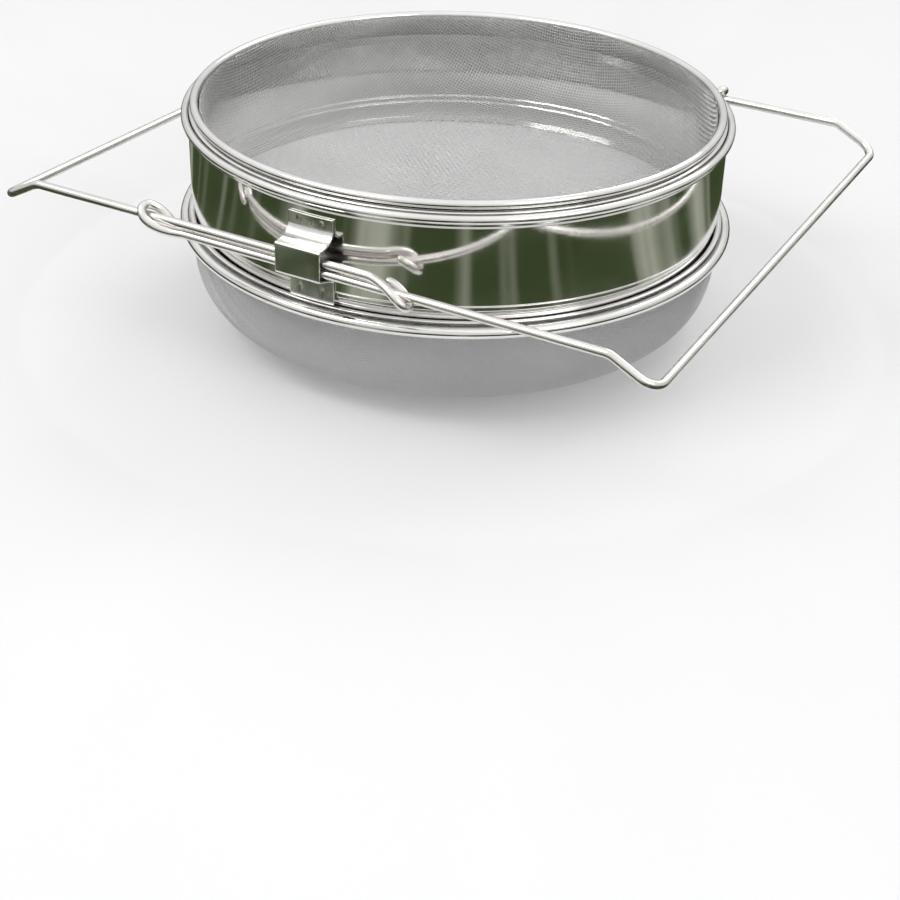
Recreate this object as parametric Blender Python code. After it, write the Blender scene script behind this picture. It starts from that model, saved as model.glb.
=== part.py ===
"""Double sieve strainer: a coarse sieve in a band with two sliding wire bails, over a fine sieve bowl.

Metres, +Z up. The origin is on the sieves' axis at the flat bottom of the fine bowl. The bails slide along X,
and the two clips that guide them sit on the band at -Y (front) and +Y (rear).
"""

import math

import bmesh
import bpy
from mathutils import Vector

# Sheet, cloth and gaps
SHEET = 0.0005  # rolled stainless sheet of the hoops and the band
CLIP_SHEET = 0.0008
FINE_CLOTH = 0.0006
COARSE_CLOTH = 0.0008
NEST_GAP = 0.0003  # between pieces that sit in or on each other
ROUND_STEPS = 48  # facets round each hoop
CURL_STEPS = 6  # facets of one rolled bead
CURL_SWEEP = math.radians(295)  # how far a bead is rolled; the rest is its open seam

# Fine sieve, at the bottom
BOWL_DEPTH = 0.0500
BOWL_FLAT_RADIUS = 0.045
FINE_BEAD_OUTSET = 0.0020  # the fine sieve's bead is this much larger in radius than the band's
FINE_BEAD_TUBE = 0.0025
FINE_BEAD_SINK = 0.0006  # bead's centre below the bowl's shoulder
FINE_COLLAR_DROP = 0.0036  # hoop wall below the bead's centre
SEAT_RING_DROP = 0.0035  # seat ring's foot below the bead's centre
SEAT_RING_FLANGE = 0.0016
SEAT_LIP_REACH = 0.0023

# Carrier band
BAND_BEAD_RADIUS = 0.1200
BAND_BEAD_TUBE = 0.00185
BEAD_SPACING = 0.0481  # from the fine sieve's bead up to the band's
BAND_SWELL = 0.00025  # the body stands this far outside the neck under the bead
BAND_NECK = 0.0035
FOOT_UPPER_STEP_RISE = 0.0104  # above the fine sieve's bead
FOOT_STEP_SPACING = 0.0026
STEP_RISE = 0.0008

# Coarse sieve
COARSE_BEAD_TUBE = 0.00185
COARSE_RIM_GAP = 0.00025  # between the coarse sieve's bead and the band's, seen from above
COARSE_SKIRT = 0.0130
COARSE_DEPTH = 0.0400
COARSE_FLAT_RADIUS = 0.050
FLANGE_LEG = 0.0085
FLANGE_OVERLAP = 0.0002  # the flange reaches this far over the inside of the band's bead
FLANGE_REST_GAP = 0.0004
FLANGE_BEAD_GAP = 0.0008  # under the coarse sieve's bead

# Bails
WIRE = 0.0038
BAIL_STAND_OUT = 0.0351  # cross bar from the band's body, at rest
BAIL_CRANK = 0.0195  # length over which a leg drops to the cross bar
BAIL_DROP = 0.0100
BAIL_BEND = 0.0080
LEG_STAND_OFF = 0.0058  # wire's inner side from the band's body
FRONT_UPPER_DROP = 0.0220  # height of a leg's middle, below the band's bead
LEG_GAP = 0.0006  # between the two legs at the front
REAR_LEG_SPREAD = 0.0024  # how much further apart the two legs are at the rear
BAIL_TRAVEL = 0.0186  # from rest outwards, until an upper leg's hook meets the clip
HOOK_GAP = 0.0006
HOOK_LENGTH = 0.0185
HOOK_SET_BACK = 0.0270  # a lower leg's hook starts this much further along than an upper leg's
HOOK_SWEEP = math.radians(315)
HOOK_RISE = math.radians(160)  # a hook goes this far along a half wave as it leaves the leg and comes back
HOOK_TIGHTEN = 2.6  # how fast the hook closes up to the wire that it grips
HOOK_EASE = 1.2

# Clips
CLIP_WIDTH = 0.0210
CLIP_TOP_DROP = 0.0065  # heights below the band's bead
CLIP_SCOOP_DROP = 0.0100
CLIP_RIDGE_GAP = 0.0005  # over the highest wire
CLIP_WIRE_GAP = 0.0006
CLIP_POCKET_GAP = 0.0012
CLIP_RETURN_FALL = 0.0030  # the strip falls this far as it turns back from its face to the band
CLIP_STATIONS = 6
SCOOP_STEPS = 5

FINE_BEAD_RADIUS = BAND_BEAD_RADIUS + FINE_BEAD_OUTSET
FINE_BEAD_Z = BOWL_DEPTH - FINE_BEAD_SINK
BAND_BEAD_Z = FINE_BEAD_Z + BEAD_SPACING
BAND_NECK_WALL = BAND_BEAD_RADIUS - BAND_BEAD_TUBE + SHEET / 2
BAND_BODY_WALL = BAND_NECK_WALL + BAND_SWELL
BAND_OUTER = BAND_BODY_WALL + SHEET / 2
LEG_OFFSET = BAND_OUTER + LEG_STAND_OFF + WIRE / 2
BAIL_REACH = BAND_OUTER + BAIL_STAND_OUT
LOWER_DROP = FRONT_UPPER_DROP + WIRE + LEG_GAP
REAR_UPPER_DROP = FRONT_UPPER_DROP - REAR_LEG_SPREAD
UPPER_HOOK_START = CLIP_WIDTH / 2 + WIRE / 2 + BAIL_TRAVEL  # from the clip's middle, past it
LOWER_HOOK_START = UPPER_HOOK_START + HOOK_SET_BACK
CLIP_RIDGE_DROP = REAR_UPPER_DROP - WIRE / 2 - CLIP_RIDGE_GAP - CLIP_SHEET / 2
CLIP_FACE_DROP = LOWER_DROP + WIRE / 2 + CLIP_POCKET_GAP
CLIP_TAB_DROP = CLIP_FACE_DROP + CLIP_RETURN_FALL
FINE_COLLAR_INNER = FINE_BEAD_RADIUS - FINE_BEAD_TUBE
FINE_CLOTH_WALL = FINE_COLLAR_INNER - NEST_GAP - FINE_CLOTH / 2
SEAT_RING_WALL = FINE_CLOTH_WALL - FINE_CLOTH / 2 - NEST_GAP - SHEET / 2
BAND_FOOT_WALL = SEAT_RING_WALL - SHEET - NEST_GAP
FLANGE_REACH = BAND_BEAD_RADIUS - BAND_BEAD_TUBE + FLANGE_OVERLAP
FLANGE_RISE = math.sqrt((BAND_BEAD_TUBE + FLANGE_REST_GAP) ** 2 - (BAND_BEAD_RADIUS - FLANGE_REACH) ** 2)
FLANGE_Z = BAND_BEAD_Z + FLANGE_RISE + SHEET / 2
COARSE_BEAD_RADIUS = BAND_BEAD_RADIUS - BAND_BEAD_TUBE - COARSE_RIM_GAP - COARSE_BEAD_TUBE
COARSE_BEAD_Z = FLANGE_Z + SHEET / 2 + FLANGE_BEAD_GAP + COARSE_BEAD_TUBE
COARSE_SKIRT_WALL = COARSE_BEAD_RADIUS - COARSE_BEAD_TUBE + SHEET / 2
COARSE_CLOTH_WALL = COARSE_SKIRT_WALL - SHEET / 2 - NEST_GAP - COARSE_CLOTH / 2


def clear_scene():
    """Removes every object, so that the model starts from nothing."""
    for old in list(bpy.data.objects):
        bpy.data.objects.remove(old)


def steel(name, colour, roughness):
    """A stainless finish as a Principled BSDF."""
    material = bpy.data.materials.new(name)
    material.use_nodes = True
    shader = material.node_tree.nodes["Principled BSDF"]
    shader.inputs["Base Color"].default_value = (*colour, 1)
    shader.inputs["Metallic"].default_value = 1
    shader.inputs["Roughness"].default_value = roughness
    return material


def arc(centre, radius, start, sweep, steps):
    """Points of an arc in a plane, from the angle start through sweep, in radians."""
    angles = [start + sweep * k / steps for k in range(steps + 1)]
    return [(centre[0] + radius * math.cos(a), centre[1] + radius * math.sin(a)) for a in angles]


def offset_line(path, distance):
    """The open line path moved sideways by distance, with mitred corners."""
    points = [Vector(p) for p in path]
    sides = []
    for a, b in zip(points, points[1:]):
        along = (b - a).normalized()
        sides.append(Vector((-along.y, along.x)))
    moved = [points[0] + sides[0] * distance]
    for point, before, after in zip(points[1:], sides, sides[1:]):
        corner = (before + after).normalized()
        moved.append(point + corner * (distance / corner.dot(before)))
    moved.append(points[-1] + sides[-1] * distance)
    return moved


def sheet_outline(path, thickness):
    """The closed outline of a sheet whose middle follows the open line path."""
    left = offset_line(path, thickness / 2)
    right = offset_line(path, -thickness / 2)
    return left + right[::-1]


def finish(mesh_builder, name, material, sharp=35):
    """Makes a named, smooth-shaded object of a bmesh, with its faces pointing out."""
    bmesh.ops.recalc_face_normals(mesh_builder, faces=mesh_builder.faces)
    mesh = bpy.data.meshes.new(name)
    mesh_builder.to_mesh(mesh)
    mesh_builder.free()
    mesh.materials.append(material)
    mesh.shade_smooth()
    mesh.set_sharp_from_angle(angle=math.radians(sharp))
    made = bpy.data.objects.new(name, mesh)
    bpy.context.scene.collection.objects.link(made)
    return made


def turned(name, outline, material, closed=True):
    """A piece turned about the Z axis from its section, given as (radius, height) points."""
    builder = bmesh.new()
    verts = [builder.verts.new((r, 0, z)) for r, z in outline]
    ends = list(zip(verts, verts[1:]))
    if closed:
        ends.append((verts[-1], verts[0]))
    edges = [builder.edges.new(pair) for pair in ends]
    bmesh.ops.spin(
        builder,
        geom=verts + edges,
        cent=(0, 0, 0),
        axis=(0, 0, 1),
        angle=2 * math.pi,
        steps=ROUND_STEPS,
        use_merge=True,
    )
    bmesh.ops.remove_doubles(builder, verts=builder.verts, dist=1e-6)
    return finish(builder, name, material)


def rolled_bead(radius, height, tube):
    """Middle line of a bead rolled outwards from a wall that comes up inside it."""
    return arc((radius, height), tube - SHEET / 2, math.pi, -CURL_SWEEP, CURL_STEPS)


def rim_wire(name, radius, height, tube, material):
    """The wire that a bead is rolled round."""
    wire_radius = (tube - SHEET) * math.cos(CURL_SWEEP / CURL_STEPS / 2) - NEST_GAP
    section = arc((radius, height), wire_radius, 0, 2 * math.pi, CURL_STEPS)[:-1]
    return turned(name, section, material)


def bowl_line(wall_radius, top, shoulder, depth, flat_radius, steps=8):
    """Middle line of a pressed mesh bowl, a squarish quarter oval with a flat centre."""
    line = [(wall_radius, top), (wall_radius, shoulder)]
    for k in range(1, steps):
        turn = math.pi / 2 * k / steps
        radius = wall_radius * math.sqrt(math.cos(turn))
        if radius > flat_radius * 1.05:
            line.append((radius, shoulder - depth * math.sqrt(math.sin(turn))))
    return line + [(flat_radius, shoulder - depth), (0, shoulder - depth)]


def mesh_bowl(name, line, cloth, material):
    """A bowl of woven cloth, as a closed skin of the cloth's thickness."""
    outer = offset_line(line, -cloth / 2)
    inner = offset_line(line, cloth / 2)
    return turned(name, outer[::-1] + inner, material, closed=False)


def fine_sieve(sheet, wire, cloth):
    """The lower sieve: a wired hoop, a fine mesh bowl and the seat ring that clamps it."""
    bead = rolled_bead(FINE_BEAD_RADIUS, FINE_BEAD_Z, FINE_BEAD_TUBE)
    collar = [(FINE_COLLAR_INNER + SHEET / 2, FINE_BEAD_Z - FINE_COLLAR_DROP)]
    turned("fine_rim_hoop", sheet_outline(collar + bead, SHEET), sheet)
    rim_wire("fine_rim_wire", FINE_BEAD_RADIUS, FINE_BEAD_Z, FINE_BEAD_TUBE, wire)

    foot = FINE_BEAD_Z - SEAT_RING_DROP
    lip = FINE_BEAD_Z + FINE_BEAD_TUBE + NEST_GAP + SHEET
    seat = [
        (SEAT_RING_WALL - SEAT_RING_FLANGE, foot),
        (SEAT_RING_WALL, foot),
        (SEAT_RING_WALL, lip - SHEET),
        (SEAT_RING_WALL + SHEET, lip + SHEET / 2),
        (SEAT_RING_WALL + SEAT_LIP_REACH, lip + SHEET / 2),
    ]
    turned("fine_seat_ring", sheet_outline(seat, SHEET), sheet)

    top = FINE_BEAD_Z + FINE_BEAD_TUBE - NEST_GAP
    depth = BOWL_DEPTH - FINE_CLOTH / 2
    line = bowl_line(FINE_CLOTH_WALL, top, BOWL_DEPTH, depth, BOWL_FLAT_RADIUS)
    mesh_bowl("fine_mesh_bowl", line, FINE_CLOTH, cloth)


def carrier_band(sheet, wire):
    """The band: a rolled bead over a body that steps in twice, so that its foot drops into the seat ring."""
    foot = FINE_BEAD_Z - SEAT_RING_DROP + SHEET / 2 + NEST_GAP
    upper_step = FINE_BEAD_Z + FOOT_UPPER_STEP_RISE
    lower_step = upper_step - FOOT_STEP_SPACING
    step_wall = (BAND_BODY_WALL + BAND_FOOT_WALL) / 2
    neck = BAND_BEAD_Z - BAND_NECK
    wall = [
        (BAND_FOOT_WALL, foot),
        (BAND_FOOT_WALL, lower_step - STEP_RISE),
        (step_wall, lower_step),
        (step_wall, upper_step - STEP_RISE),
        (BAND_BODY_WALL, upper_step),
        (BAND_BODY_WALL, neck - STEP_RISE),
        (BAND_NECK_WALL, neck),
    ]
    bead = rolled_bead(BAND_BEAD_RADIUS, BAND_BEAD_Z, BAND_BEAD_TUBE)
    turned("carrier_band", sheet_outline(wall + bead, SHEET), sheet)
    rim_wire("carrier_rim_wire", BAND_BEAD_RADIUS, BAND_BEAD_Z, BAND_BEAD_TUBE, wire)


def coarse_sieve(sheet, wire, cloth):
    """The upper sieve: a wired hoop, the flange that it rests on and a coarse mesh basket."""
    bead = rolled_bead(COARSE_BEAD_RADIUS, COARSE_BEAD_Z, COARSE_BEAD_TUBE)
    skirt = [(COARSE_SKIRT_WALL, COARSE_BEAD_Z - COARSE_SKIRT)]
    turned("coarse_rim_hoop", sheet_outline(skirt + bead, SHEET), sheet)
    rim_wire("coarse_rim_wire", COARSE_BEAD_RADIUS, COARSE_BEAD_Z, COARSE_BEAD_TUBE, wire)

    leg = COARSE_SKIRT_WALL + SHEET + NEST_GAP
    flange = [(leg, FLANGE_Z - FLANGE_LEG), (leg, FLANGE_Z), (FLANGE_REACH, FLANGE_Z)]
    turned("coarse_seat_flange", sheet_outline(flange, SHEET), sheet)

    top = COARSE_BEAD_Z - NEST_GAP
    shoulder = COARSE_BEAD_Z - COARSE_BEAD_TUBE * 2
    line = bowl_line(COARSE_CLOTH_WALL, top, shoulder, COARSE_DEPTH, COARSE_FLAT_RADIUS)
    mesh_bowl("coarse_mesh_basket", line, COARSE_CLOTH, cloth)


def clip_line():
    """Middle line of a clip's strip, as (distance from the axis, height, how closely it hugs the band)."""
    tab = BAND_OUTER + NEST_GAP + CLIP_SHEET / 2
    face = LEG_OFFSET + WIRE / 2 + CLIP_WIRE_GAP + CLIP_SHEET / 2
    tab_foot = FINE_BEAD_Z + FINE_BEAD_TUBE + 2 * NEST_GAP + 3 * SHEET
    top, scoop = BAND_BEAD_Z - CLIP_TOP_DROP, BAND_BEAD_Z - CLIP_SCOOP_DROP
    ridge = BAND_BEAD_Z - CLIP_RIDGE_DROP
    line = [(tab, top, 1)]
    for k in range(SCOOP_STEPS + 1):
        t = k / SCOOP_STEPS
        out = t * t
        line.append((tab + (face - tab) * out, scoop + (ridge - scoop) * t * (2 - t), 1 - out))
    line.append((face, BAND_BEAD_Z - CLIP_FACE_DROP, 0))
    return line + [(tab, BAND_BEAD_Z - CLIP_TAB_DROP, 1), (tab, tab_foot, 1)]


def clip(name, side, material):
    """A bent strip welded to the band by two tabs, with the pocket that both wires run through."""
    line = clip_line()
    outline = sheet_outline([(d, z) for d, z, _ in line], CLIP_SHEET)
    hugs = [hug for _, _, hug in line]
    builder = bmesh.new()
    loops = []
    for k in range(CLIP_STATIONS + 1):
        x = CLIP_WIDTH * (k / CLIP_STATIONS - 0.5)
        sag = BAND_OUTER - math.sqrt(BAND_OUTER**2 - x**2)
        verts = [
            builder.verts.new((x, side * (d - sag * hug), z))
            for (d, z), hug in zip(outline, hugs + hugs[::-1])
        ]
        loops.append(builder.faces.new(verts))
    for near, far in zip(loops, loops[1:]):
        for a, b in zip(near.edges, far.edges):
            builder.faces.new((a.verts[0], a.verts[1], b.verts[1], b.verts[0]))
    for inner in loops[1:-1]:
        builder.faces.remove(inner)
    return finish(builder, name, material)


def fillet(before, corner, after, radius, steps=5):
    """Points of a round bend that replaces corner, in space."""
    back, on = (before - corner).normalized(), (after - corner).normalized()
    half = back.angle(on) / 2
    centre = corner + (back + on).normalized() * (radius / math.sin(half))
    start = corner + back * (radius / math.tan(half)) - centre
    end = corner + on * (radius / math.tan(half)) - centre
    return [centre + start.slerp(end, k / steps).normalized() * radius for k in range(steps + 1)]


def hook(out, side, start, own_z, other_z, steps=18):
    """The hook at a leg's end, from its tip to the leg: it goes round and behind the other bail's leg.

    out is the way the bail slides outwards along X, so the hook points the other way.
    side is the clip's side of Y.
    """
    below = -1 if other_z < own_z else 1
    grip = WIRE + HOOK_GAP
    points = []
    for k in range(steps + 1):
        t = k / steps
        angle = math.pi / 2 - HOOK_SWEEP * t**HOOK_EASE
        spread = grip + (abs(other_z - own_z) - grip) * max(0, 1 - HOOK_TIGHTEN * t) ** 2
        x = -out * (start + HOOK_LENGTH * math.sin(HOOK_RISE * t))
        y = side * (LEG_OFFSET + spread * math.cos(angle))
        z = other_z - below * spread * math.sin(angle)
        points.append(Vector((x, y, z)))
    return points[::-1]


def bail(name, out, drops, material):
    """A U of wire: two legs along X, cranked down to a cross bar, each with a hook on the other bail's leg.

    drops maps the side of Y to (this leg's drop, the other bail's leg drop) below the band's bead.
    """
    ends = {}
    for side, (own, other) in drops.items():
        own_z, other_z = BAND_BEAD_Z - own, BAND_BEAD_Z - other
        start = UPPER_HOOK_START if own < other else LOWER_HOOK_START
        leg = hook(out, side, start, own_z, other_z)
        crank = Vector((out * (BAIL_REACH - BAIL_CRANK), side * LEG_OFFSET, own_z))
        corner = Vector((out * BAIL_REACH, side * LEG_OFFSET, own_z - BAIL_DROP))
        ends[side] = (leg, crank, corner)
    route = []
    for side, far in ((-1, 1), (1, -1)):
        leg, crank, corner = ends[side]
        half = leg + fillet(leg[-1], crank, corner, BAIL_BEND)
        half += fillet(crank, corner, ends[far][2], BAIL_BEND)
        route += half if side < 0 else half[::-1]

    curve = bpy.data.curves.new(name, "CURVE")
    curve.dimensions = "3D"
    curve.bevel_depth = WIRE / 2
    curve.bevel_resolution = 2
    curve.use_fill_caps = True
    spline = curve.splines.new("POLY")
    spline.points.add(len(route) - 1)
    # the object's origin is on the line that the bail slides along
    origin = Vector((0, 0, BAND_BEAD_Z - FRONT_UPPER_DROP))
    for point, place in zip(spline.points, route):
        point.co = (*(place - origin), 1)
    curve.materials.append(material)
    made = bpy.data.objects.new(name, curve)
    made.location = origin
    bpy.context.scene.collection.objects.link(made)
    return made


def main():
    """Builds the strainer."""
    clear_scene()
    polished = steel("polished_sheet", (0.62, 0.61, 0.58), 0.12)
    wire = steel("drawn_wire", (0.60, 0.58, 0.54), 0.25)
    pressed = steel("pressed_sheet", (0.58, 0.57, 0.54), 0.2)
    fine = steel("fine_cloth", (0.45, 0.45, 0.45), 0.5)
    coarse = steel("coarse_cloth", (0.48, 0.48, 0.47), 0.5)

    fine_sieve(polished, wire, fine)
    carrier_band(polished, wire)
    coarse_sieve(polished, wire, coarse)
    clip("front_clip", -1, pressed)
    clip("rear_clip", 1, pressed)
    left_drops = {-1: (FRONT_UPPER_DROP, LOWER_DROP), 1: (LOWER_DROP, REAR_UPPER_DROP)}
    bail("left_bail", -1, left_drops, wire)
    bail("right_bail", 1, {side: pair[::-1] for side, pair in left_drops.items()}, wire)


main()
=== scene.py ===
"""Double sieve strainer: its fine meshes, its finishes and a plain studio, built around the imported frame.

The coarse sieve lies loose in the carrier band, the band carries two sliding wire bails in two clips, and
its foot drops into the fine sieve. Metres, +Z up, in the frame's own coordinates: the origin is on the
sieves' axis at the bottom of the fine bowl, the bails slide along X, and the clips are at -Y (front) and
+Y (rear).
"""

import logging
import math
import random
from dataclasses import dataclass
from enum import Enum

import bmesh
import bpy
import numpy as np
from mathutils import Matrix, Vector


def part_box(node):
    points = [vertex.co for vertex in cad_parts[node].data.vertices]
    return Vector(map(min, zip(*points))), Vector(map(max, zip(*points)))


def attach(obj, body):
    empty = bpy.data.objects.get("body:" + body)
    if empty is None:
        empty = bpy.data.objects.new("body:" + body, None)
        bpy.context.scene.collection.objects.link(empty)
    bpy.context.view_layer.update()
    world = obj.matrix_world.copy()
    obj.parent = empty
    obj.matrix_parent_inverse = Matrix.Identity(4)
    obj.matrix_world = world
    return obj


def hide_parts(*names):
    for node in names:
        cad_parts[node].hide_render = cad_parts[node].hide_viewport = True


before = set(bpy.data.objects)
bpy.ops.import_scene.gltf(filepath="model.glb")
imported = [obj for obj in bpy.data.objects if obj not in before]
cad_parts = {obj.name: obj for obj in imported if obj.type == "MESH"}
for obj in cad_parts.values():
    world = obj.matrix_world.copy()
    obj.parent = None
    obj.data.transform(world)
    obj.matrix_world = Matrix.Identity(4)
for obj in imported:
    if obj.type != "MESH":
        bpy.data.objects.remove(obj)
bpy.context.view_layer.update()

LOG = logging.getLogger("strainer")
ROUND_STEPS = 240  # facets round every turned piece
MERGE = 1e-6
SHEET = 0.0005  # rolled stainless sheet
FIT_GAP = 0.0003  # between pieces that sit in or on each other

Point = tuple[float, float]


class Side(Enum):
    """Where a clip sits, as its side of Y."""

    FRONT = -1
    REAR = 1


class Way(Enum):
    """The way a bail slides out, as its side of X."""

    LEFT = -1
    RIGHT = 1


class Family(Enum):
    """One of the two sets of wires that cross in a woven cloth."""

    WARP = "warp"
    WEFT = "weft"


# ---------------------------------------------------------------- finishes


class Recipe:
    """A Principled material while its nodes are being laid out."""

    def __init__(self, name: str, metallic: float = 1.0) -> None:
        """Starts a material.

        Args:
            name: The material's name.
            metallic: 1 for bare metal, 0 for anything else.
        """
        self.material = bpy.data.materials.new(name)
        self.material.use_nodes = True
        self.tree = self.material.node_tree
        self.shader = self.tree.nodes["Principled BSDF"]
        self.shader.inputs["Metallic"].default_value = metallic
        self.place = self.tree.nodes.new("ShaderNodeTexCoord").outputs["Object"]

    def noise(self, size: tuple[float, float, float], detail: float = 3.0) -> bpy.types.NodeSocket:
        """A noise pattern on the piece's own coordinates.

        Args:
            size: How long the pattern's features are along X, Y and Z, in metres.
            detail: How many finer layers it holds.

        Returns:
            The pattern, from 0 to 1.
        """
        mapping = self.tree.nodes.new("ShaderNodeMapping")
        mapping.inputs["Scale"].default_value = [1 / s for s in size]
        pattern = self.tree.nodes.new("ShaderNodeTexNoise")
        pattern.inputs["Scale"].default_value = 1.0
        pattern.inputs["Detail"].default_value = detail
        self.tree.links.new(self.place, mapping.inputs["Vector"])
        self.tree.links.new(mapping.outputs["Vector"], pattern.inputs["Vector"])
        return pattern.outputs["Fac"]

    def spread(self, pattern: bpy.types.NodeSocket, low: float, high: float) -> bpy.types.NodeSocket:
        """The pattern's middle stretch, spread over a range.

        Args:
            pattern: A noise from 0 to 1, whose values mostly lie near 0.5.
            low: What its dark parts become.
            high: What its light parts become.

        Returns:
            The new values.
        """
        node = self.tree.nodes.new("ShaderNodeMapRange")
        node.inputs["From Min"].default_value = 0.3
        node.inputs["From Max"].default_value = 0.7
        node.inputs["To Min"].default_value = low
        node.inputs["To Max"].default_value = high
        self.tree.links.new(pattern, node.inputs["Value"])
        return node.outputs["Result"]

    def sum(self, first: bpy.types.NodeSocket, second: bpy.types.NodeSocket) -> bpy.types.NodeSocket:
        """Adds two patterns."""
        node = self.tree.nodes.new("ShaderNodeMath")
        self.tree.links.new(first, node.inputs[0])
        self.tree.links.new(second, node.inputs[1])
        return node.outputs["Value"]

    def tint(self, pattern: bpy.types.NodeSocket, dark: tuple, light: tuple) -> None:
        """Colours the surface between two tones.

        Args:
            pattern: A noise from 0 to 1.
            dark: The colour of its dark parts.
            light: The colour of its light parts.
        """
        node = self.tree.nodes.new("ShaderNodeValToRGB")
        node.color_ramp.elements[0].position = 0.35
        node.color_ramp.elements[0].color = (*dark, 1)
        node.color_ramp.elements[1].position = 0.65
        node.color_ramp.elements[1].color = (*light, 1)
        self.tree.links.new(pattern, node.inputs["Fac"])
        self.tree.links.new(node.outputs["Color"], self.shader.inputs["Base Color"])

    def rough(self, values: bpy.types.NodeSocket) -> None:
        """Drives the roughness by a pattern."""
        self.tree.links.new(values, self.shader.inputs["Roughness"])

    def bump(self, pattern: bpy.types.NodeSocket, height: float, strength: float) -> None:
        """Raises the surface by a pattern.

        Args:
            pattern: A noise from 0 to 1.
            height: How high its light parts stand, in metres.
            strength: How much of that height shades, from 0 to 1.
        """
        node = self.tree.nodes.new("ShaderNodeBump")
        node.inputs["Distance"].default_value = height
        node.inputs["Strength"].default_value = strength
        previous = self.shader.inputs["Normal"].links
        if previous:
            self.tree.links.new(previous[0].from_socket, node.inputs["Normal"])
        self.tree.links.new(pattern, node.inputs["Height"])
        self.tree.links.new(node.outputs["Normal"], self.shader.inputs["Normal"])


@dataclass(frozen=True)
class TurnedSheetFinish:
    """Bright rolled sheet, polished on a lathe: near mirror, with fine lines round it and faint smudges."""

    name: str = "polished_sheet"
    dark: tuple = (0.80, 0.79, 0.77)
    light: tuple = (0.90, 0.89, 0.87)
    polish: float = 0.045
    smudge: float = 0.07
    line_height: float = 0.00002

    def make(self) -> bpy.types.Material:
        """Lays out the material and returns it."""
        recipe = Recipe(self.name)
        smudges = recipe.noise((0.030, 0.030, 0.022), detail=5)
        lines = recipe.noise((0.060, 0.060, 0.0008), detail=3)
        ripple = recipe.noise((0.035, 0.035, 0.060), detail=1)
        wiped = recipe.spread(smudges, self.polish, self.polish + self.smudge)
        brushed = recipe.spread(lines, 0.0, 0.03)
        recipe.tint(smudges, self.dark, self.light)
        recipe.rough(recipe.sum(wiped, brushed))
        recipe.bump(ripple, 0.0004, 0.10)
        recipe.bump(lines, self.line_height, 0.12)
        return recipe.material


@dataclass(frozen=True)
class PressedSheetFinish:
    """Bent strip: bright, rubbed along its bends, with short scratches across it."""

    name: str = "pressed_sheet"
    dark: tuple = (0.76, 0.75, 0.72)
    light: tuple = (0.86, 0.85, 0.82)
    shine: float = 0.15
    wear: float = 0.07  # how much duller the rubbed places are

    def make(self) -> bpy.types.Material:
        """Lays out the material and returns it."""
        recipe = Recipe(self.name)
        rubs = recipe.noise((0.014, 0.014, 0.010), detail=2)
        scratches = recipe.noise((0.00022, 0.009, 0.009), detail=3)
        recipe.tint(rubs, self.dark, self.light)
        rubbed = recipe.spread(rubs, self.shine, self.shine + self.wear)
        recipe.rough(recipe.sum(rubbed, recipe.spread(scratches, 0.0, 0.07)))
        recipe.bump(rubs, 0.0002, 0.08)
        recipe.bump(scratches, 0.00002, 0.25)
        return recipe.material


@dataclass(frozen=True)
class DrawnWireFinish:
    """Drawn wire, buffed: satin, a little warmer than the sheet, with soft marks where it rubs."""

    name: str
    dark: tuple = (0.77, 0.75, 0.72)
    light: tuple = (0.84, 0.82, 0.79)
    satin: float = 0.17
    wear: float = 0.09  # how much duller the rubbed places are

    def make(self) -> bpy.types.Material:
        """Lays out the material and returns it."""
        recipe = Recipe(self.name)
        wear = recipe.noise((0.020, 0.010, 0.010), detail=4)
        grain = recipe.noise((0.0120, 0.0009, 0.0009), detail=2)
        recipe.tint(wear, self.dark, self.light)
        rubbed = recipe.spread(wear, self.satin, self.satin + self.wear)
        recipe.rough(recipe.sum(rubbed, recipe.spread(grain, 0, 0.05)))
        recipe.bump(grain, 0.00002, 0.12)
        return recipe.material


@dataclass(frozen=True)
class ClothFinish:
    """Woven wire in a few shades, picked wire by wire, and dulled in soft patches."""

    name: str
    tone: tuple
    roughness: float = 0.42
    shades: tuple = (0.78, 1.0, 1.12)

    def make(self) -> list[bpy.types.Material]:
        """Lays out one material for each shade and returns them."""
        made = []
        for number, shade in enumerate(self.shades):
            recipe = Recipe(f"{self.name}_{number}")
            light = tuple(min(1.0, channel * shade) for channel in self.tone)
            patches = recipe.noise((0.050, 0.050, 0.030), detail=1)
            recipe.tint(patches, tuple(0.93 * channel for channel in light), light)
            recipe.rough(recipe.spread(patches, self.roughness + 0.04, self.roughness - 0.03))
            made.append(recipe.material)
        return made


# ---------------------------------------------------------------- mesh helpers


def arc(centre: Point, radius: float, start: float, sweep: float, steps: int) -> list[Point]:
    """Points of an arc.

    Args:
        centre: Its centre.
        radius: Its radius.
        start: The angle of its first point, in radians.
        sweep: The angle that it turns through, in radians.
        steps: How many chords it has.

    Returns:
        Its points, both ends included.
    """
    angles = [start + sweep * k / steps for k in range(steps + 1)]
    return [(centre[0] + radius * math.cos(a), centre[1] + radius * math.sin(a)) for a in angles]


def rounded(line: list[Point], radius: float, steps: int = 5) -> list[Point]:
    """A line with its corners bent round.

    Args:
        line: The corners, in order.
        radius: The bends' radius, less where a stretch is too short for it.
        steps: How many chords a bend has.

    Returns:
        The bent line.
    """
    bent = [line[0]]
    for before, corner, after in zip(line, line[1:], line[2:]):
        middle = Vector(corner)
        back, on = Vector(before) - middle, Vector(after) - middle
        half = back.angle(on) / 2
        if half > math.radians(88):
            bent.append(corner)
            continue
        reach = min(radius / math.tan(half), 0.45 * back.length, 0.45 * on.length)
        first, last = middle + back.normalized() * reach, middle + on.normalized() * reach
        for k in range(steps + 1):
            t = k / steps
            bent.append(tuple(first * (1 - t) ** 2 + middle * 2 * t * (1 - t) + last * t**2))
    return bent + [line[-1]]


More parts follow.
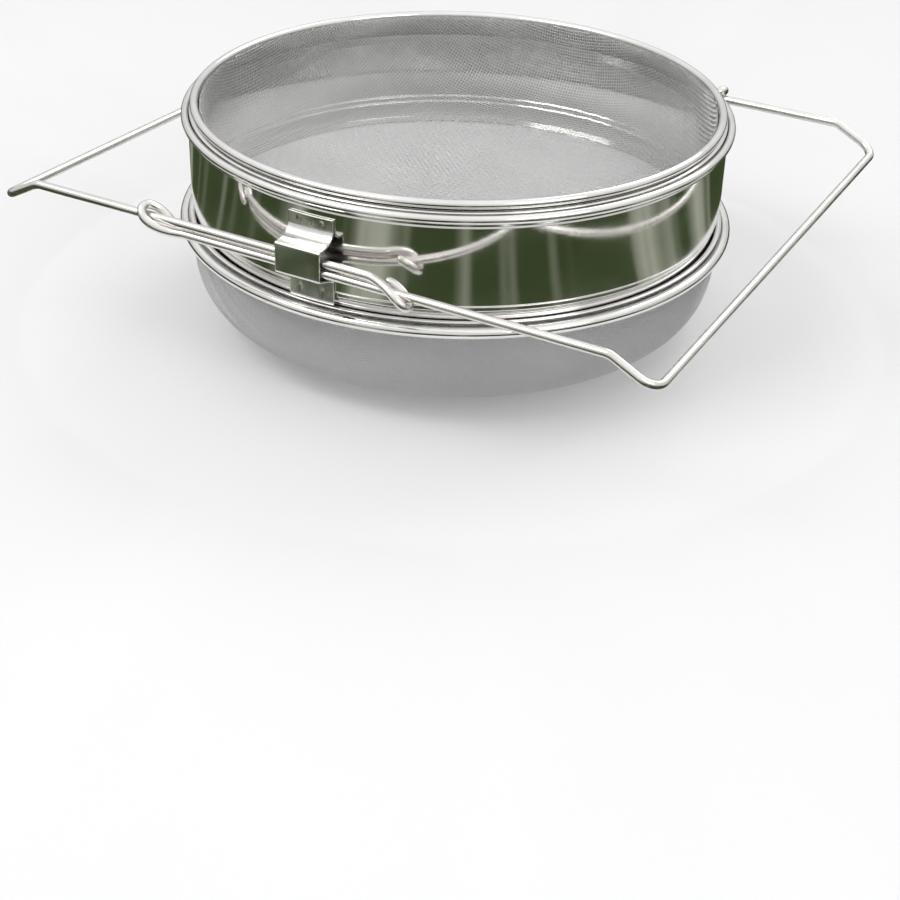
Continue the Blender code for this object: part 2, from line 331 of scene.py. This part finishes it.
def shown(mesh: bpy.types.Mesh, name: str, materials: list[bpy.types.Material]) -> bpy.types.Object:
    """Puts a mesh in the scene as a piece.

    Args:
        mesh: The mesh, already in place.
        name: The piece's name.
        materials: Its materials, one for each index that its faces use.

    Returns:
        The piece.
    """
    mesh.name = name
    mesh.materials.clear()
    for material in materials:
        mesh.materials.append(material)
    piece = bpy.data.objects.new(name, mesh)
    bpy.context.scene.collection.objects.link(piece)
    return piece


def from_bmesh(builder: bmesh.types.BMesh, name: str, material: bpy.types.Material) -> bpy.types.Object:
    """Makes a piece of a bmesh, with its doubles merged and its faces pointing out.

    Args:
        builder: The bmesh, which this frees.
        name: The piece's name.
        material: Its material.

    Returns:
        The piece.
    """
    bmesh.ops.remove_doubles(builder, verts=builder.verts, dist=MERGE)
    bmesh.ops.recalc_face_normals(builder, faces=builder.faces)
    mesh = bpy.data.meshes.new(name)
    builder.to_mesh(mesh)
    builder.free()
    mesh.shade_smooth()
    mesh.set_sharp_from_angle(angle=math.radians(40))
    return shown(mesh, name, [material])


def thicken(piece: bpy.types.Object, thickness: float) -> None:
    """Gives an open shell a wall.

    Args:
        piece: The shell, which becomes the wall's middle.
        thickness: The wall's thickness, in metres.
    """
    wall = piece.modifiers.new("wall", "SOLIDIFY")
    wall.thickness = thickness
    wall.offset = 0
    wall.use_even_offset = True


def soften(piece: bpy.types.Object, width: float) -> None:
    """Rounds a piece's sharp edges.

    Args:
        piece: The piece.
        width: The rounding's width, in metres.
    """
    edge = piece.modifiers.new("edges", "BEVEL")
    edge.width = width
    edge.segments = 2
    edge.limit_method = "ANGLE"
    edge.angle_limit = math.radians(50)


def turned_shell(name: str, line: list[Point], material: bpy.types.Material) -> bpy.types.Object:
    """A sheet piece turned about the Z axis.

    Args:
        name: The piece's name.
        line: The middle of the sheet's section, as (radius, height).
        material: Its material.

    Returns:
        The piece, with its wall.
    """
    builder = bmesh.new()
    verts = [builder.verts.new((r, 0, z)) for r, z in line]
    edges = [builder.edges.new(pair) for pair in zip(verts, verts[1:])]
    bmesh.ops.spin(
        builder,
        geom=verts + edges,
        cent=(0, 0, 0),
        axis=(0, 0, 1),
        angle=2 * math.pi,
        steps=ROUND_STEPS,
        use_merge=True,
    )
    piece = from_bmesh(builder, name, material)
    thicken(piece, SHEET)
    return piece


def ring_of_wire(node: str) -> Point:
    """Where the wire inside a rolled rim runs.

    Args:
        node: The wire's node, whose section is a hexagon with corners at its inner and outer sides.

    Returns:
        (radius, height) of its centre line.
    """
    low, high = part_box(node)
    reach = (high.z - low.z) / math.sqrt(3)
    return high.x - reach, (high.z + low.z) / 2


def mesh_of_curve(curve: bpy.types.Curve, name: str) -> bpy.types.Mesh:
    """Turns a bevelled curve into a mesh and removes the curve.

    Args:
        curve: The curve.
        name: The mesh's name.

    Returns:
        The mesh.
    """
    holder = bpy.data.objects.new(name + "_line", curve)
    bpy.context.scene.collection.objects.link(holder)
    graph = bpy.context.evaluated_depsgraph_get()
    mesh = bpy.data.meshes.new_from_object(holder.evaluated_get(graph))
    bpy.data.objects.remove(holder)
    bpy.data.curves.remove(curve)
    return mesh


def belongs(piece: bpy.types.Object, body: str, slot: str, *nodes: str) -> bpy.types.Object:
    """Says what a piece rides on and which nodes it stands for.

    Args:
        piece: The piece.
        body: The body that it moves with.
        slot: The record's material slot; not used.
        nodes: The nodes that it replaces.

    Returns:
        The piece.
    """
    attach(piece, body)
    if nodes:
        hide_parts(*nodes)
    LOG.info("%s rides on %s", piece.name, body)
    return piece


# ---------------------------------------------------------------- rolled rims


@dataclass
class RolledRim:
    """The bead of a hoop: its sheet comes up inside, goes over the top and curls under round a wire."""

    wire_node: str
    hoop_node: str
    curl: float = math.radians(295)
    steps: int = 22

    @property
    def centre(self) -> Point:
        """(radius, height) of the bead's centre."""
        return ring_of_wire(self.wire_node)

    @property
    def tube(self) -> float:
        """The bead's outer radius."""
        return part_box(self.hoop_node)[1].z - self.centre[1]

    @property
    def wall(self) -> float:
        """Radius of the middle of the sheet that comes up into the bead."""
        return self.centre[0] - self.tube + SHEET / 2

    def line(self) -> list[Point]:
        """The middle of the curled sheet."""
        return arc(self.centre, self.tube - SHEET / 2, math.pi, -self.curl, self.steps)

    def dress_wire(self, material: bpy.types.Material) -> None:
        """Gives the wire in the bead its finish."""
        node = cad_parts[self.wire_node]
        node.data.materials.clear()
        node.data.materials.append(material)
        LOG.info("%s keeps its shape", node.name)


# ---------------------------------------------------------------- woven cloth


@dataclass
class WovenBowl:
    """A bowl pressed of woven wire, each wire laid over and under the ones that it crosses.

    The flat cloth is wrapped on the bowl so that a straight run from the centre keeps its length.
    """

    node: str
    body: str
    slot: str
    piece: str
    rim_strip: float  # straight cloth above the bowl's shoulder
    wire: float  # its thickness; the node's wall is two of these
    pitch: float
    parts: int  # how many pieces each family of wires is made as
    seed: int

    def __post_init__(self) -> None:
        """Reads the bowl's size from its node and measures its section."""
        low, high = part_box(self.node)
        self.radius = high.x - self.wire
        self.top = high.z
        self.shoulder = high.z - self.rim_strip
        self.depth = self.shoulder - low.z - self.wire
        self.section = self.measured_section()
        steps = np.hypot(*np.diff(self.section, axis=1))
        self.run = np.concatenate([[0.0], np.cumsum(steps)])
        slope = np.gradient(self.section, self.run, axis=1)
        slope /= np.hypot(*slope)
        self.normal = np.array([-slope[1], slope[0]])

    def measured_section(self, steps: int = 900) -> np.ndarray:
        """The bowl's section from its centre to its rim, a squarish quarter oval.

        Args:
            steps: How many points it has.

        Returns:
            Its radii and heights, as two rows.
        """
        turn = np.linspace(math.pi / 2, 0, steps)
        radii = self.radius * np.sqrt(np.cos(turn).clip(0))
        heights = self.shoulder - self.depth * np.sqrt(np.sin(turn))
        return np.array([np.append(radii, self.radius), np.append(heights, self.top)])

    def lay(self, across: np.ndarray, along: np.ndarray, lift: np.ndarray) -> np.ndarray:
        """Wraps points of the flat cloth on the bowl.

        Args:
            across: Their places along X on the flat cloth.
            along: Their places along Y.
            lift: How far each stands off the cloth's middle, inwards.

        Returns:
            Their places in space, one row each.
        """
        run = np.hypot(across, along)
        angle = np.arctan2(along, across)
        radii = np.interp(run, self.run, self.section[0]) + lift * np.interp(run, self.run, self.normal[0])
        heights = np.interp(run, self.run, self.section[1]) + lift * np.interp(run, self.run, self.normal[1])
        return np.column_stack([radii * np.cos(angle), radii * np.sin(angle), heights])

    def wire_line(self, family: Family, number: int) -> np.ndarray:
        """One wire's centre line, over and under its neighbours.

        Args:
            family: The set of wires that it belongs to.
            number: Which wire it is, counted from the middle one.

        Returns:
            Its points in space, one row each.
        """
        offset = number * self.pitch
        half = math.sqrt(self.run[-1] ** 2 - offset**2)
        crossings = np.arange(-int(half / self.pitch), int(half / self.pitch) + 1)
        places = np.concatenate([[-half], crossings * self.pitch, [half]])
        turns = np.where((crossings + number) % 2, -1.0, 1.0) * self.wire / 2
        lift = np.concatenate([[0.0], turns if family is Family.WARP else -turns, [0.0]])
        offsets = np.full_like(places, offset)
        if family is Family.WARP:
            return self.lay(offsets, places, lift)
        return self.lay(places, offsets, lift)

    def build(self, materials: list[bpy.types.Material]) -> None:
        """Weaves both families of wires.

        Args:
            materials: The shades that the wires take in turn.
        """
        chance = random.Random(self.seed)
        last = int(self.run[-1] / self.pitch)
        section = wire_section(self.wire / 2)
        for family in Family:
            numbers = list(range(-last, last + 1))
            share = math.ceil(len(numbers) / self.parts)
            for part in range(self.parts):
                curve = bpy.data.curves.new("cloth", "CURVE")
                curve.dimensions = "3D"
                curve.bevel_mode = "OBJECT"
                curve.bevel_object = section
                for number in numbers[part * share : (part + 1) * share]:
                    line = self.wire_line(family, number)
                    spline = curve.splines.new("POLY")
                    spline.points.add(len(line) - 1)
                    flat = np.column_stack([line, np.ones(len(line))]).ravel()
                    spline.points.foreach_set("co", flat.astype(np.float32))
                    spline.material_index = chance.randrange(len(materials))
                suffix = f"_{part + 1}" if self.parts > 1 else ""
                name = f"{self.piece}_{family.value}{suffix}"
                for material in materials:
                    curve.materials.append(material)
                piece = shown(mesh_of_curve(curve, name), name, materials)
                belongs(piece, self.body, self.slot, self.node)
        bpy.data.objects.remove(section)


def wire_section(radius: float, sides: int = 3) -> bpy.types.Object:
    """The section that a thin wire is drawn with.

    Args:
        radius: Its radius.
        sides: Its number of sides.

    Returns:
        A closed flat curve.
    """
    curve = bpy.data.curves.new("wire_section", "CURVE")
    spline = curve.splines.new("POLY")
    spline.points.add(sides - 1)
    for point, (x, y) in zip(spline.points, arc((0, 0), radius, 0, 2 * math.pi, sides)):
        point.co = (x, y, 0, 1)
    spline.use_cyclic_u = True
    section = bpy.data.objects.new("wire_section", curve)
    bpy.context.scene.collection.objects.link(section)
    return section


# ---------------------------------------------------------------- sub-assemblies


@dataclass
class FineSieve:
    """The lower sieve: a wired hoop, a fine mesh bowl, and the ring that clamps it and seats the band."""

    seat_bend: float = 0.0008
    seat_lip_reach: float = 0.0023
    seat_foot_reach: float = 0.0016

    def build(self, sheet: bpy.types.Material, wire: bpy.types.Material, cloth: list) -> None:
        """Builds the sieve.

        Args:
            sheet: The hoop's and the ring's finish.
            wire: The finish of the wire in the rim.
            cloth: The cloth's shades.
        """
        rim = RolledRim("fine_rim_wire", "fine_rim_hoop")
        low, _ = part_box("fine_rim_hoop")
        hoop = turned_shell("fine_hoop", [(rim.wall, low.z)] + rim.line(), sheet)
        belongs(hoop, "lower_sieve", "polished_sheet", "fine_rim_hoop")
        rim.dress_wire(wire)
        self.build_seat(sheet)
        bowl = WovenBowl(
            node="fine_mesh_bowl",
            body="lower_sieve",
            slot="fine_cloth",
            piece="fine_cloth",
            rim_strip=0.0016,
            wire=0.0003,
            pitch=0.0012,
            parts=2,
            seed=7,
        )
        bowl.build(cloth)

    def build_seat(self, sheet: bpy.types.Material) -> None:
        """Builds the clamping ring, whose lip laps over the hoop's bead."""
        low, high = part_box("fine_seat_ring")
        wall = high.x - self.seat_lip_reach
        lip = high.z - SHEET / 2
        foot = low.z + SHEET / 2
        line = [(wall - self.seat_foot_reach, foot), (wall, foot), (wall, lip), (high.x, lip)]
        ring = turned_shell("fine_seat", rounded(line, self.seat_bend), sheet)
        belongs(ring, "lower_sieve", "seat_sheet", "fine_seat_ring")


@dataclass
class CarrierBand:
    """The band: a rolled rim over a polished body that steps in twice above its foot."""

    swell: float = 0.00025  # the body stands this far outside the neck under the rim
    neck: float = 0.0035  # below the bead's centre
    foot_inset: float = 0.0014
    upper_step: float = 0.01335  # above the foot's edge
    step_spacing: float = 0.0026
    step_rise: float = 0.0008
    step_bend: float = 0.0007

    def build(self, sheet: bpy.types.Material, wire: bpy.types.Material) -> None:
        """Builds the band.

        Args:
            sheet: Its finish.
            wire: The finish of the wire in its rim.
        """
        rim = RolledRim("carrier_rim_wire", "carrier_band")
        low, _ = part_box("carrier_band")
        body = rim.wall + self.swell
        upper = low.z + self.upper_step
        lower = upper - self.step_spacing
        neck = rim.centre[1] - self.neck
        foot = body - self.foot_inset
        halfway = body - self.foot_inset / 2
        line = [
            (foot, low.z),
            (foot, lower - self.step_rise),
            (halfway, lower),
            (halfway, upper - self.step_rise),
            (body, upper),
            (body, neck - self.step_rise),
            (rim.wall, neck),
            (rim.wall, rim.centre[1]),
        ]
        band = turned_shell("polished_band", rounded(line, self.step_bend) + rim.line()[1:], sheet)
        belongs(band, "carrier", "polished_sheet", "carrier_band")
        rim.dress_wire(wire)


@dataclass
class CoarseSieve:
    """The upper sieve: a wired hoop, the flange that it rests on and a coarse mesh basket."""

    flange_bend: float = 0.0008

    def build(self, sheet: bpy.types.Material, wire: bpy.types.Material, cloth: list) -> None:
        """Builds the sieve.

        Args:
            sheet: The hoop's and the flange's finish.
            wire: The finish of the wire in the rim.
            cloth: The cloth's shades.
        """
        rim = RolledRim("coarse_rim_wire", "coarse_rim_hoop")
        low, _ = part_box("coarse_rim_hoop")
        hoop = turned_shell("coarse_hoop", [(rim.wall, low.z)] + rim.line(), sheet)
        belongs(hoop, "top_sieve", "polished_sheet", "coarse_rim_hoop")
        rim.dress_wire(wire)

        low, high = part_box("coarse_seat_flange")
        leg = rim.wall + SHEET + FIT_GAP
        line = [(leg, low.z), (leg, high.z - SHEET / 2), (high.x, high.z - SHEET / 2)]
        flange = turned_shell("coarse_flange", rounded(line, self.flange_bend), sheet)
        belongs(flange, "top_sieve", "seat_sheet", "coarse_seat_flange")
        basket = WovenBowl(
            node="coarse_mesh_basket",
            body="top_sieve",
            slot="coarse_cloth",
            piece="coarse_cloth",
            rim_strip=0.0034,
            wire=0.0004,
            pitch=0.0015,
            parts=1,
            seed=3,
        )
        basket.build(cloth)


@dataclass
class Clip:
    """A bent strip, spot welded to the band by a tab above and one below, with a pocket for both wires."""

    side: Side
    sheet: float = 0.0008
    band_outer: float = 0.1189
    scoop_drop: float = 0.0035  # heights below the strip's top edge
    ridge_drop: float = 0.0103
    face_drop: float = 0.0230
    return_drop: float = 0.0260
    stations: int = 42
    weld_radius: float = 0.0017
    weld_depth: float = 0.00022
    weld_spread: float = 0.0052  # weld marks from the strip's middle
    upper_weld: float = 0.0023  # below the strip's top edge
    lower_weld: float = 0.0048  # above its bottom edge
    bend: float = 0.0012
    edge_round: float = 0.00015

    def line(self) -> list[Point]:
        """The middle of the strip, as (distance from the axis, height)."""
        low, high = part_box(self.node)
        reach = high.y if self.side is Side.REAR else -low.y
        tab = self.band_outer + FIT_GAP + self.sheet / 2
        face = reach - self.sheet / 2
        scoop, ridge = high.z - self.scoop_drop, high.z - self.ridge_drop
        steps = 14
        scooped = [
            (tab + (face - tab) * (k / steps) ** 2, scoop + (ridge - scoop) * (k / steps) * (2 - k / steps))
            for k in range(steps + 1)
        ]
        foot = [(face, high.z - self.face_drop), (tab, high.z - self.return_drop), (tab, low.z)]
        return rounded([(tab, high.z), *scooped, *foot], self.bend)

    @property
    def node(self) -> str:
        """The node that this clip stands for."""
        return f"{self.side.name.lower()}_clip"

    def build(self, material: bpy.types.Material) -> None:
        """Builds the clip.

        Args:
            material: Its finish.
        """
        low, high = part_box(self.node)
        width = high.x - low.x
        line = self.line()
        tab, face = min(d for d, _ in line), max(d for d, _ in line)
        builder = bmesh.new()
        verts = [builder.verts.new((low.x, d, z)) for d, z in line]
        edges = [builder.edges.new(pair) for pair in zip(verts, verts[1:])]
        for _ in range(self.stations):
            grown = bmesh.ops.extrude_edge_only(builder, edges=edges)["geom"]
            edges = [e for e in grown if isinstance(e, bmesh.types.BMEdge) and not e.link_faces[1:]]
            moved = [v for v in grown if isinstance(v, bmesh.types.BMVert)]
            bmesh.ops.translate(builder, vec=(width / self.stations, 0, 0), verts=moved)
            edges = [e for e in edges if all(v in moved for v in e.verts)]
        long_edges = [e for e in builder.edges if e.calc_length() > self.bend]
        bmesh.ops.subdivide_edges(builder, edges=long_edges, cuts=6, use_grid_fill=True)
        heights = (high.z - self.upper_weld, low.z + self.lower_weld)
        welds = [Vector((side * self.weld_spread, z)) for side in (-1, 1) for z in heights]
        for vert in builder.verts:
            x, distance, z = vert.co
            hug = 1 - (distance - tab) / (face - tab)
            sag = self.band_outer - math.sqrt(self.band_outer**2 - x**2)
            on_tab = hug > 0.99
            dent = sum(self.dent((Vector((x, z)) - weld).length) for weld in welds) if on_tab else 0
            vert.co.y = self.side.value * (distance - sag * hug - dent)
        clip = from_bmesh(builder, self.node + "_strip", material)
        thicken(clip, self.sheet)
        soften(clip, self.edge_round)
        belongs(clip, "carrier", "pressed_sheet", self.node)

    def dent(self, distance: float) -> float:
        """Depth of a weld mark at a distance from its middle."""
        share = min(1.0, distance / self.weld_radius)
        return self.weld_depth * (0.5 + 0.5 * math.cos(math.pi * share))


@dataclass
class Bail:
    """A U of wire: two legs cranked down to a cross bar, each hooked on the other bail's leg."""

    way: Way
    wire: float = 0.0038
    clip_sheet: float = 0.0008
    clip_gap: float = 0.0006
    crank: float = 0.0195
    drop: float = 0.0100
    bend: float = 0.0080
    front_upper: float = 0.0220  # leg heights, below the band's bead
    lower: float = 0.0264
    rear_upper: float = 0.0196
    upper_hook: float = 0.0310  # from the clip's middle, past it
    lower_hook: float = 0.0580
    hook_length: float = 0.0185
    hook_gap: float = 0.0006
    hook_sweep: float = math.radians(315)
    hook_rise: float = math.radians(160)
    tighten: float = 2.6
    ease: float = 1.2

    @property
    def node(self) -> str:
        """The node that this bail stands for."""
        return f"{self.way.name.lower()}_bail"

    def hook(self, side: Side, start: float, own: float, other: float, steps: int = 60) -> list[Vector]:
        """The hook at a leg's end, from the leg to its tip.

        Args:
            side: The clip's side.
            start: Where it leaves the leg, from the clip's middle.
            own: The leg's height.
            other: The height of the leg that it grips.
            steps: How many chords it has.

        Returns:
            Its points, from its tip to the leg.
        """
        below = -1 if other < own else 1
        grip = self.wire + self.hook_gap
        points = []
        for k in range(steps + 1):
            t = k / steps
            angle = math.pi / 2 - self.hook_sweep * t**self.ease
            spread = grip + (abs(other - own) - grip) * max(0, 1 - self.tighten * t) ** 2
            x = -self.way.value * (start + self.hook_length * math.sin(self.hook_rise * t))
            y = side.value * (self.leg_offset + spread * math.cos(angle))
            points.append(Vector((x, y, other - below * spread * math.sin(angle))))
        return points[::-1]

    @property
    def leg_offset(self) -> float:
        """Distance of the legs from the X axis."""
        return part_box("rear_clip")[1].y - self.clip_sheet - self.clip_gap - self.wire / 2

    def bent(self, before: Vector, corner: Vector, after: Vector, steps: int = 14) -> list[Vector]:
        """Points of the round bend that replaces a corner."""
        back, on = (before - corner).normalized(), (after - corner).normalized()
        half = back.angle(on) / 2
        centre = corner + (back + on).normalized() * (self.bend / math.sin(half))
        start = corner + back * (self.bend / math.tan(half)) - centre
        end = corner + on * (self.bend / math.tan(half)) - centre
        return [centre + start.slerp(end, k / steps).normalized() * self.bend for k in range(steps + 1)]

    def route(self) -> list[Vector]:
        """The wire's centre line, from one hook's tip to the other's."""
        low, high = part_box(self.node)
        out = self.way.value
        reach = (high.x if self.way is Way.RIGHT else -low.x) - self.wire / 2
        bead = ring_of_wire("carrier_rim_wire")[1]
        high_side = Side.FRONT if self.way is Way.LEFT else Side.REAR
        uppers = {Side.FRONT: self.front_upper, Side.REAR: self.rear_upper}
        ends = {}
        for side in Side:
            drops = [uppers[side], self.lower]
            own, other = drops if side is high_side else drops[::-1]
            start = self.upper_hook if own < other else self.lower_hook
            leg = self.hook(side, start, bead - own, bead - other)
            crank = Vector((out * (reach - self.crank), side.value * self.leg_offset, bead - own))
            corner = Vector((out * reach, side.value * self.leg_offset, bead - own - self.drop))
            ends[side] = (leg, crank, corner)
        halves = []
        for side, far in ((Side.FRONT, Side.REAR), (Side.REAR, Side.FRONT)):
            leg, crank, corner = ends[side]
            half = leg + self.bent(leg[-1], crank, corner)
            halves.append(half + self.bent(crank, corner, ends[far][2]))
        return halves[0] + halves[1][::-1]

    def build(self, material: bpy.types.Material) -> None:
        """Builds the bail.

        Args:
            material: Its finish.
        """
        route = self.route()
        curve = bpy.data.curves.new("bail", "CURVE")
        curve.dimensions = "3D"
        curve.bevel_depth = self.wire / 2
        curve.bevel_resolution = 5
        curve.use_fill_caps = True
        spline = curve.splines.new("POLY")
        spline.points.add(len(route) - 1)
        for point, place in zip(spline.points, route):
            point.co = (*place, 1)
        # the sheared ends are rounded off
        for k, share in enumerate((0.62, 0.86, 0.97)):
            spline.points[k].radius = share
            spline.points[-1 - k].radius = share
        mesh = mesh_of_curve(curve, self.node)
        mesh.shade_smooth()
        mesh.set_sharp_from_angle(angle=math.radians(50))
        bail = shown(mesh, self.node + "_wire", [material])
        belongs(bail, self.node, "bail_wire", self.node)


# ---------------------------------------------------------------- studio


@dataclass
class Studio:
    """A pale floor, soft lights, a glowing ring of painted reflection that only metal mirrors, and the
    camera.
    """

    camera_place: tuple = (0.3519, -0.6488, 0.3759)
    camera_right: tuple = (0.87136, 0.48993, 0.02658)
    camera_up: tuple = (-0.27762, 0.44765, 0.85002)
    lens: float = 69.95
    floor_radius: float = 60
    reflection_ring_inner: float = 0.2
    reflection_ring_spread: float = 9  # the painted reflection ring's outer radius, in inner ones

    def build(self) -> None:
        """Builds the studio."""
        self.build_floor()
        self.build_lights()
        self.build_world()
        self.build_painted_reflection_ring()
        self.build_camera()

    def build_camera(self) -> None:
        """Places the camera."""
        data = bpy.data.cameras.new("camera")
        data.lens = self.lens
        data.sensor_width = 36.0
        camera = bpy.data.objects.new("camera", data)
        right, up = Vector(self.camera_right), Vector(self.camera_up)
        turn = Matrix((right, up, right.cross(up))).transposed()
        camera.matrix_world = Matrix.Translation(self.camera_place) @ turn.to_4x4()
        bpy.context.scene.collection.objects.link(camera)
        bpy.context.scene.camera = camera
        bpy.context.scene.view_settings.view_transform = "Standard"

    def build_floor(self) -> None:
        """Lays the floor."""
        recipe = Recipe("pale_floor", metallic=0)
        recipe.tint(recipe.noise((0.5, 0.5, 0.5)), (0.72, 0.72, 0.72), (0.75, 0.75, 0.75))
        recipe.shader.inputs["Roughness"].default_value = 0.7
        builder = bmesh.new()
        bmesh.ops.create_circle(builder, cap_ends=True, radius=self.floor_radius, segments=96)
        floor = from_bmesh(builder, "floor", recipe.material)

    def build_painted_reflection_ring(self) -> None:
        """Lays a darker, glowing ring of painted reflection that only mirroring surfaces show: it is hidden
        from the camera.
        """
        recipe = Recipe("painted_reflection_ring", metallic=0)
        tree = recipe.tree
        split = tree.nodes.new("ShaderNodeSeparateXYZ")
        angle = tree.nodes.new("ShaderNodeMath")
        angle.operation = "ARCTAN2"
        tree.links.new(recipe.place, split.inputs["Vector"])
        tree.links.new(split.outputs["Y"], angle.inputs[0])
        tree.links.new(split.outputs["X"], angle.inputs[1])
        reflection_streaks = tree.nodes.new("ShaderNodeTexNoise")
        reflection_streaks.noise_dimensions = "1D"
        reflection_streaks.inputs["Scale"].default_value = 2.3
        reflection_streaks.inputs["Detail"].default_value = 3.0
        tree.links.new(angle.outputs["Value"], reflection_streaks.inputs["W"])
        # painted reflection: glowing dark green to pale grey-green streaks round the axis, which only
        # mirroring metal shows
        ramp = tree.nodes.new("ShaderNodeValToRGB")
        ramp.color_ramp.elements[0].position = 0.50
        ramp.color_ramp.elements[0].color = (0.045, 0.062, 0.026, 1)
        ramp.color_ramp.elements[1].position = 0.68
        ramp.color_ramp.elements[1].color = (0.42, 0.44, 0.36, 1)
        tree.links.new(reflection_streaks.outputs["Fac"], ramp.inputs["Fac"])
        glow = tree.nodes.new("ShaderNodeEmission")
        tree.links.new(ramp.outputs["Color"], glow.inputs["Color"])
        tree.links.new(glow.outputs["Emission"], tree.nodes["Material Output"].inputs["Surface"])
        builder = bmesh.new()
        bmesh.ops.create_circle(builder, radius=self.reflection_ring_inner, segments=96)
        rim = bmesh.ops.extrude_edge_only(builder, edges=builder.edges[:])["geom"]
        outer = [v for v in rim if isinstance(v, bmesh.types.BMVert)]
        bmesh.ops.scale(builder, vec=(self.reflection_ring_spread, self.reflection_ring_spread, 1), verts=outer)
        bmesh.ops.translate(builder, vec=(0, 0, 0.001), verts=builder.verts)
        reflection_ring = from_bmesh(builder, "painted_reflection_ring", recipe.material)
        reflection_ring.visible_camera = False
        reflection_ring.visible_diffuse = False
        reflection_ring.visible_shadow = False
        reflection_ring.visible_transmission = False

    def build_lights(self) -> None:
        """Hangs the soft lights."""
        target = Vector((0, 0, 0.06))
        lamps = (
            ("key", (-0.8, -1.0, 1.6), 1.1, 12),
            ("fill", (1.5, -0.6, 1.1), 0.9, 5),
            ("back", (0.2, 1.5, 1.5), 1.2, 8),
        )
        for name, place, size, power in lamps:
            data = bpy.data.lights.new(name, "AREA")
            data.shape = "RECTANGLE"
            data.size = size
            data.size_y = size * 0.7
            data.energy = power
            lamp = bpy.data.objects.new(name, data)
            lamp.location = place
            lamp.rotation_euler = (target - Vector(place)).to_track_quat("-Z", "Y").to_euler()
            bpy.context.scene.collection.objects.link(lamp)

    def build_world(self) -> None:
        """Fills the room with even pale light, brighter above."""
        world = bpy.data.worlds.new("room")
        bpy.context.scene.world = world
        world.use_nodes = True
        tree = world.node_tree
        background = tree.nodes["Background"]
        place = tree.nodes.new("ShaderNodeTexCoord")
        split = tree.nodes.new("ShaderNodeSeparateXYZ")
        ramp = tree.nodes.new("ShaderNodeValToRGB")
        ramp.color_ramp.elements[0].position = 0.0
        ramp.color_ramp.elements[0].color = (0.56, 0.56, 0.57, 1)
        ramp.color_ramp.elements[1].position = 0.8
        ramp.color_ramp.elements[1].color = (1.0, 1.0, 1.0, 1)
        tree.links.new(place.outputs["Generated"], split.inputs["Vector"])
        tree.links.new(split.outputs["Z"], ramp.inputs["Fac"])
        tree.links.new(ramp.outputs["Color"], background.inputs["Color"])
        background.inputs["Strength"].default_value = 1.05


def main() -> None:
    """Builds the strainer, then the studio."""
    logging.basicConfig(level=logging.INFO, format="%(message)s")
    sheet = TurnedSheetFinish().make()
    core = DrawnWireFinish("core_wire").make()
    FineSieve().build(sheet, core, ClothFinish("fine_cloth", (0.92, 0.92, 0.93)).make())
    CarrierBand().build(sheet, core)
    CoarseSieve().build(sheet, core, ClothFinish("coarse_cloth", (0.95, 0.95, 0.94)).make())
    pressed = PressedSheetFinish().make()
    for side in Side:
        Clip(side).build(pressed)
    drawn = DrawnWireFinish("bail_wire").make()
    for way in Way:
        Bail(way).build(drawn)
    Studio().build()


if __name__ == "__main__":
    main()
